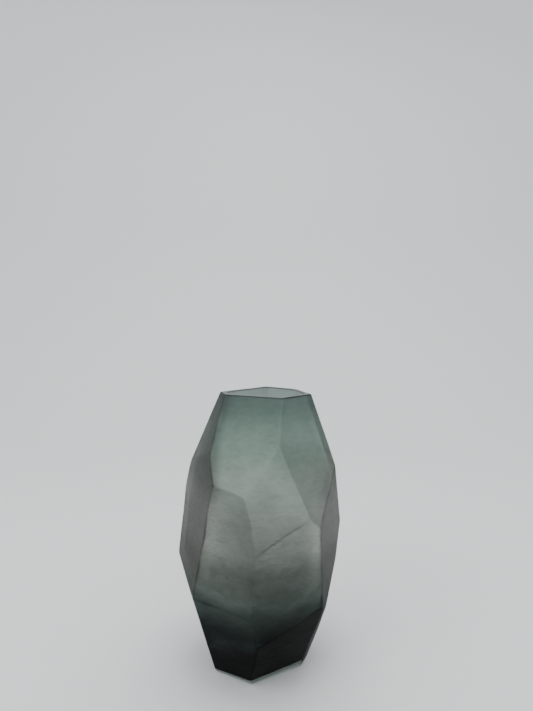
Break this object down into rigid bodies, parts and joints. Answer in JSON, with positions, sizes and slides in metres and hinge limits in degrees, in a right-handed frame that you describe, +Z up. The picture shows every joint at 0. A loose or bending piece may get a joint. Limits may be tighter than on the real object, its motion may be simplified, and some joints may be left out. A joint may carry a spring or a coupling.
{
  "type": "faceted vase",
  "caption": "Tall faceted art glass vase: a thin satin tinted casing fused over a clear core, with an open mouth ground flat, a round hollow and a heavy base bevelled round the foot.",
  "frame": {"origin": "middle of the flat ground base, on the surface the vase stands on", "axes": "+Z up out of the mouth, front of the vase to -Y, +X to the right seen from the front"},
  "size_m": [0.2093, 0.2075, 0.34],
  "materials": {
    "tinted_glass": "satin, acid etched",
    "clear_glass": "satin at the ground rim, foot and inside"
  },
  "bodies": {
    "root": {"tinted_casing": "tinted_glass", "clear_core": "clear_glass"}
  },
  "joints": []
}
